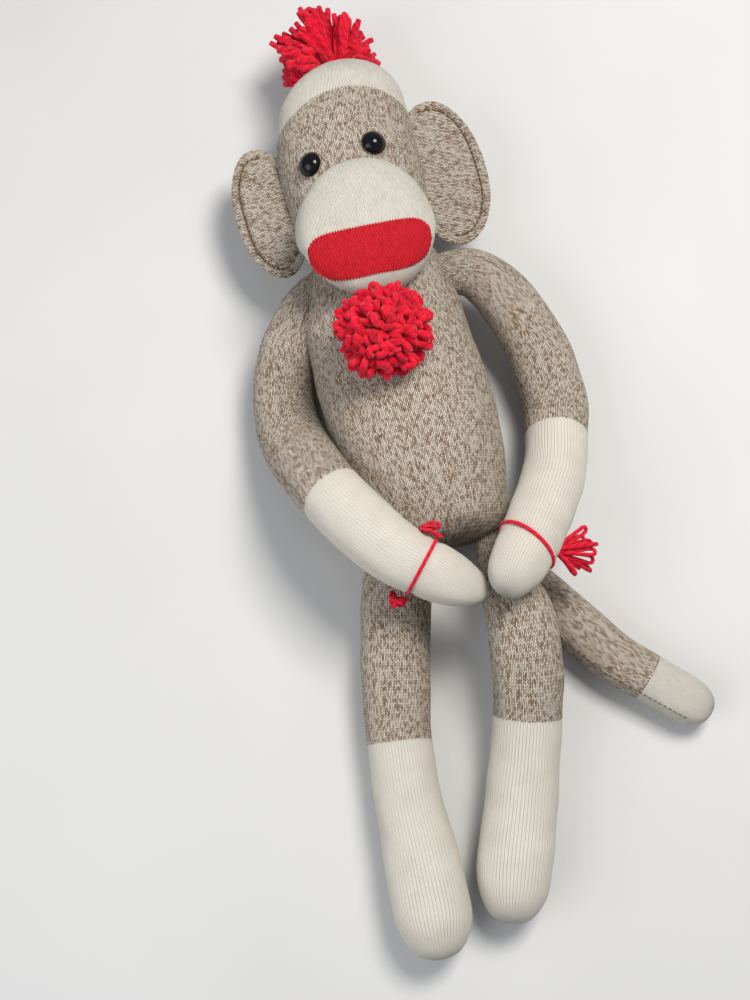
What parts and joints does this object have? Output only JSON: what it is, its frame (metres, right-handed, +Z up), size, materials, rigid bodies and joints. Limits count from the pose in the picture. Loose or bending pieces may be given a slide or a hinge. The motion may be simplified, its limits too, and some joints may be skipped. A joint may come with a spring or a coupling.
{
  "type": "stuffed toy monkey",
  "caption": "Stuffed knit monkey with pompoms, round ears, red smiling mouth, long bent limbs and a curled tail, lying on its back.",
  "frame": {"origin": "centre of the flat strip of the back that the monkey lies on, below the middle of the belly", "axes": "+Z up out of the belly, +Y towards the head, +X towards the monkey's left side"},
  "size_m": [0.2866, 0.5775, 0.1236],
  "materials": {
    "ragg_knit": "marled brown, grey and cream stockinette",
    "cream_knit": "fine ribbed cream knit",
    "red_knit": "red stockinette heel fabric",
    "red_yarn": "soft plied yarn, looped and cut",
    "sewing_thread": "matt thread",
    "fibre_fill": "loose polyester fibre, white",
    "eye_plastic": "polished black",
    "washer_plastic": "moulded, unpolished"
  },
  "bodies": {
    "torso": {"torso_cover": "ragg_knit", "torso_stuffing": "fibre_fill", "hip_cover_left": "ragg_knit", "hip_cover_right": "ragg_knit", "hip_stuffing_left": "fibre_fill", "hip_stuffing_right": "fibre_fill", "crotch_seam": "sewing_thread", "neck_thread": "sewing_thread", "chin_pompom": "red_yarn", "chin_pompom_tie": "sewing_thread"},
    "head": {"head_cover": "ragg_knit", "crown_cap": "cream_knit", "head_stuffing": "fibre_fill", "muzzle_cover": "cream_knit", "muzzle_stuffing": "fibre_fill", "mouth_patch": "red_knit", "muzzle_seam": "sewing_thread", "eye_left": "eye_plastic", "eye_right": "eye_plastic", "eye_washer_left": "washer_plastic", "eye_washer_right": "washer_plastic"},
    "crown_pompom": {"crown_pompom": "red_yarn", "crown_pompom_tie": "sewing_thread"},
    "ear_left": {"ear_front_left": "ragg_knit", "ear_back_left": "ragg_knit", "ear_topstitch_left": "ragg_knit"},
    "ear_right": {"ear_front_right": "ragg_knit", "ear_back_right": "ragg_knit", "ear_topstitch_right": "ragg_knit"},
    "shoulder_left": {"shoulder_seam_left": "sewing_thread"},
    "shoulder_right": {"shoulder_seam_right": "sewing_thread"},
    "upper_arm_left": {"sleeve_left": "ragg_knit", "sleeve_stuffing_left": "fibre_fill"},
    "upper_arm_right": {"sleeve_right": "ragg_knit", "sleeve_stuffing_right": "fibre_fill"},
    "forearm_left": {"hand_left": "cream_knit", "hand_stuffing_left": "fibre_fill", "wrist_yarn_left": "red_yarn", "wrist_tassel_left": "red_yarn"},
    "forearm_right": {"hand_right": "cream_knit", "hand_stuffing_right": "fibre_fill", "wrist_yarn_right": "red_yarn", "wrist_tassel_right": "red_yarn"},
    "thigh_left": {"leg_left": "ragg_knit", "leg_stuffing_left": "fibre_fill"},
    "thigh_right": {"leg_right": "ragg_knit", "leg_stuffing_right": "fibre_fill"},
    "shin_left": {"foot_left": "cream_knit", "foot_stuffing_left": "fibre_fill"},
    "shin_right": {"foot_right": "cream_knit", "foot_stuffing_right": "fibre_fill"},
    "tail": {"tail_cover": "ragg_knit", "tail_tip": "cream_knit", "tail_stuffing": "fibre_fill", "tail_seam": "sewing_thread"}
  },
  "joints": [
    {"name": "neck_turn", "type": "hinge", "parent": "torso", "child": "head", "pos_m": [-0.0267, 0.1015, 0.041], "axis": [-0.225, 0.9744, 0], "range_deg": [-20, 20]},
    {"name": "ear_left_fold", "type": "hinge", "parent": "head", "child": "ear_left", "pos_m": [0.008, 0.162, 0.046], "axis": [-0.2419, 0.9703, 0], "range_deg": [-60, 20]},
    {"name": "ear_right_fold", "type": "hinge", "parent": "head", "child": "ear_right", "pos_m": [-0.088, 0.143, 0.042], "axis": [0.2756, -0.9613, 0], "range_deg": [-60, 20]},
    {"name": "crown_pompom_flop", "type": "hinge", "parent": "head", "child": "crown_pompom", "pos_m": [-0.05197, 0.23319, 0.041], "axis": [0, 0, 1], "range_deg": [-12, 12]},
    {"name": "shoulder_left_lift", "type": "hinge", "parent": "torso", "child": "shoulder_left", "pos_m": [0.017, 0.097, 0.043], "axis": [-1, 0, 0], "range_deg": [0, 110]},
    {"name": "shoulder_right_lift", "type": "hinge", "parent": "torso", "child": "shoulder_right", "pos_m": [-0.06, 0.092, 0.042], "axis": [-1, 0, 0], "range_deg": [0, 68]},
    {"name": "shoulder_left_spread", "type": "hinge", "parent": "shoulder_left", "child": "upper_arm_left", "pos_m": [0.02, 0.097, 0.043], "axis": [0, 0, 1], "range_deg": [0, 17]},
    {"name": "shoulder_right_spread", "type": "hinge", "parent": "shoulder_right", "child": "upper_arm_right", "pos_m": [-0.064, 0.091, 0.042], "axis": [0, 0, -1], "range_deg": [0, 5]},
    {"name": "elbow_left", "type": "hinge", "parent": "upper_arm_left", "child": "forearm_left", "pos_m": [0.09844, -0.00245, 0.029], "axis": [0.0274, 0.3477, 0.9372], "range_deg": [0, 50]},
    {"name": "elbow_right", "type": "hinge", "parent": "upper_arm_right", "child": "forearm_right", "pos_m": [-0.06632, -0.05887, 0.06547], "axis": [0.289, -0.3576, -0.8881], "range_deg": [0, 50]},
    {"name": "hip_left", "type": "hinge", "parent": "torso", "child": "thigh_left", "pos_m": [0.05425, -0.11386, 0.06328], "axis": [-1, 0, 0], "range_deg": [0, 90]},
    {"name": "knee_left", "type": "hinge", "parent": "thigh_left", "child": "shin_left", "pos_m": [0.05784, -0.17151, 0.0507], "axis": [-1, 0, 0], "range_deg": [0, 50]},
    {"name": "hip_right", "type": "hinge", "parent": "torso", "child": "thigh_right", "pos_m": [-0.01602, -0.11252, 0.04199], "axis": [-1, 0, 0], "range_deg": [0, 90]},
    {"name": "knee_right", "type": "hinge", "parent": "thigh_right", "child": "shin_right", "pos_m": [-0.01397, -0.18029, 0.0393], "axis": [-1, 0, 0], "range_deg": [0, 50]},
    {"name": "tail_swing", "type": "hinge", "parent": "torso", "child": "tail", "pos_m": [0.053, -0.064, 0.012], "axis": [0, 0, 1], "range_deg": [-6, 25]}
  ]
}
